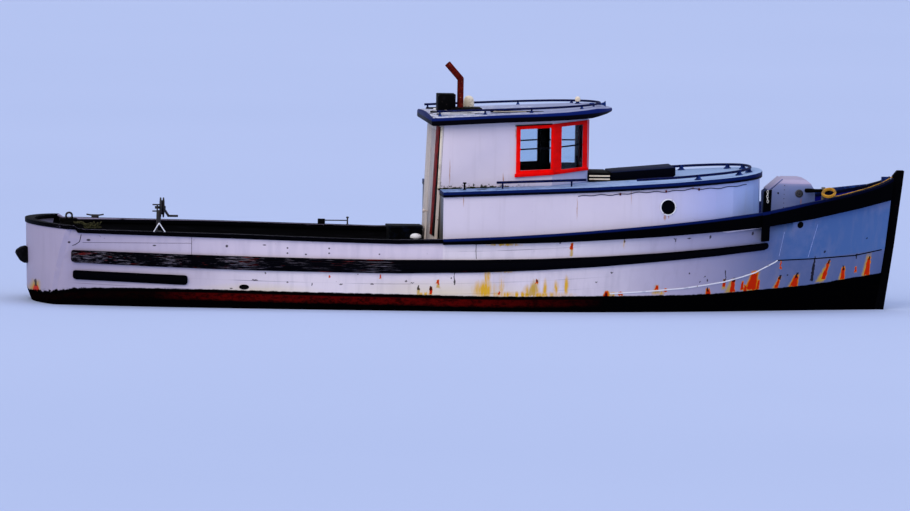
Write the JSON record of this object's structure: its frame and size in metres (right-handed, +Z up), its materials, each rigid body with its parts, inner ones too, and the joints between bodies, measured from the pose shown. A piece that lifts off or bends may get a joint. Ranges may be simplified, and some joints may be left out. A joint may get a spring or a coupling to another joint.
{
  "type": "fishing boat",
  "caption": "Small wooden inshore fishing boat afloat: white planked hull, raised cabin deck, wheelhouse with red window frames, open aft deck and a hand-cranked line hauler.",
  "frame": {"origin": "amidships on the centreline, at the waterline the boat floats at", "axes": "+X forward to the bow, +Y to port, +Z up"},
  "size_m": [11.117, 3.08, 4.1845],
  "materials": {
    "hull_paint": "worn gloss paint",
    "bottom_paint": "matt bottom paint",
    "black_trim": "worn black paint",
    "guard_paint": "black face, navy top",
    "bulwark_paint": "worn paint",
    "deck_planks": "weathered",
    "fender_rubber": "matt",
    "cabin_paint": "gloss paint",
    "navy_paint": "gloss paint",
    "house_paint": "gloss paint",
    "aft_boards": "pale boards",
    "door_paint": "pale paint",
    "roof_paint": "navy edge, flaking pale top",
    "window_red": "gloss paint",
    "window_glass": "clear",
    "rail_metal": "painted pipe",
    "stack_rust": "rusty paint",
    "black_box": "matt",
    "hood_paint": "white gloss paint, worn",
    "gurdy_iron": "oiled and rusty",
    "box_paint": "worn paint",
    "console_wood": "varnished",
    "wheel_wood": "varnished",
    "bronze": "dull",
    "engine_iron": "painted",
    "rope_yellow": "laid rope"
  },
  "bodies": {
    "boat": {"hull": "hull_paint", "transom": "hull_paint", "keel": "bottom_paint", "stem": "black_trim", "cap_rail_starboard": "black_trim", "cap_rail_port": "black_trim", "cap_rail_stern": "black_trim", "rub_strake_starboard": "black_trim", "rub_strake_port": "black_trim", "short_fender_starboard": "black_trim", "short_fender_port": "black_trim", "stern_bitt": "black_trim", "sheer_guard_starboard": "guard_paint", "sheer_guard_port": "guard_paint", "bulwark_starboard": "bulwark_paint", "bulwark_port": "bulwark_paint", "bow_bulwark_starboard": "bulwark_paint", "bow_bulwark_port": "bulwark_paint", "aft_deck": "deck_planks", "foredeck": "deck_planks", "stern_bumper": "fender_rubber", "cabin_side_starboard": "cabin_paint", "cabin_side_port": "cabin_paint", "cabin_front": "cabin_paint", "raised_deck": "navy_paint", "wheelhouse_side_starboard": "house_paint", "wheelhouse_side_port": "house_paint", "wheelhouse_corner_starboard": "house_paint", "wheelhouse_corner_port": "house_paint", "wheelhouse_front": "house_paint", "wheelhouse_aft": "aft_boards", "wheelhouse_roof": "roof_paint", "window_frame_starboard": "window_red", "window_frame_port": "window_red", "window_frame_front": "window_red", "glass_side_starboard": "window_glass", "glass_side_port": "window_glass", "glass_corner_starboard": "window_glass", "glass_corner_port": "window_glass", "glass_front": "window_glass", "roof_rail": "rail_metal", "deck_rail": "rail_metal", "side_rail_starboard": "rail_metal", "side_rail_port": "rail_metal", "exhaust_stack": "stack_rust", "roof_box": "black_box", "companion_hood": "hood_paint", "gurdy_bracket": "gurdy_iron", "deck_box": "box_paint", "helm_console": "console_wood", "engine_block": "engine_iron", "mooring_rope": "rope_yellow", "rope_coil": "rope_yellow"},
    "rudder": {"rudder": "bottom_paint"},
    "propeller": {"propeller": "bronze"},
    "helm": {"helm_wheel": "wheel_wood"},
    "door": {"wheelhouse_door": "door_paint"},
    "hatch": {"hatch_lid": "navy_paint"},
    "companion": {"companion_lid": "hood_paint"},
    "gurdy": {"gurdy_spool": "gurdy_iron"}
  },
  "joints": [
    {"name": "rudder_turn", "type": "hinge", "parent": "boat", "child": "rudder", "pos_m": [-4.86, 0, -0.3], "axis": [0, 0, 1], "range_deg": [-35, 35]},
    {"name": "helm_turn", "type": "hinge", "parent": "boat", "child": "helm", "pos_m": [1.01, -0.12, 1.12], "axis": [1, 0, 0], "range_deg": [-545, 545]},
    {"name": "propeller_spin", "type": "hinge", "parent": "boat", "child": "propeller", "pos_m": [-4.56, 0, -0.7], "axis": [1, 0, 0], "continuous": true},
    {"name": "door_swing", "type": "hinge", "parent": "boat", "child": "door", "pos_m": [-0.47335, -0.333, 1.4], "axis": [0.0405, 0, 0.9992], "range_deg": [0, 95]},
    {"name": "hatch_lift", "type": "hinge", "parent": "boat", "child": "hatch", "pos_m": [2.566, 0, 1.661], "axis": [0, 1, 0], "range_deg": [0, 80]},
    {"name": "companion_lift", "type": "hinge", "parent": "boat", "child": "companion", "pos_m": [3.919, 0, 1.644], "axis": [0, 1, 0], "range_deg": [0, 80]},
    {"name": "gurdy_spin", "type": "hinge", "parent": "boat", "child": "gurdy", "pos_m": [-3.93, -1.395, 1.25], "axis": [1, 0, 0], "continuous": true}
  ],
  "couplings": [
    {"joint": "helm_turn", "follows": "rudder_turn", "ratio": 15.42}
  ]
}
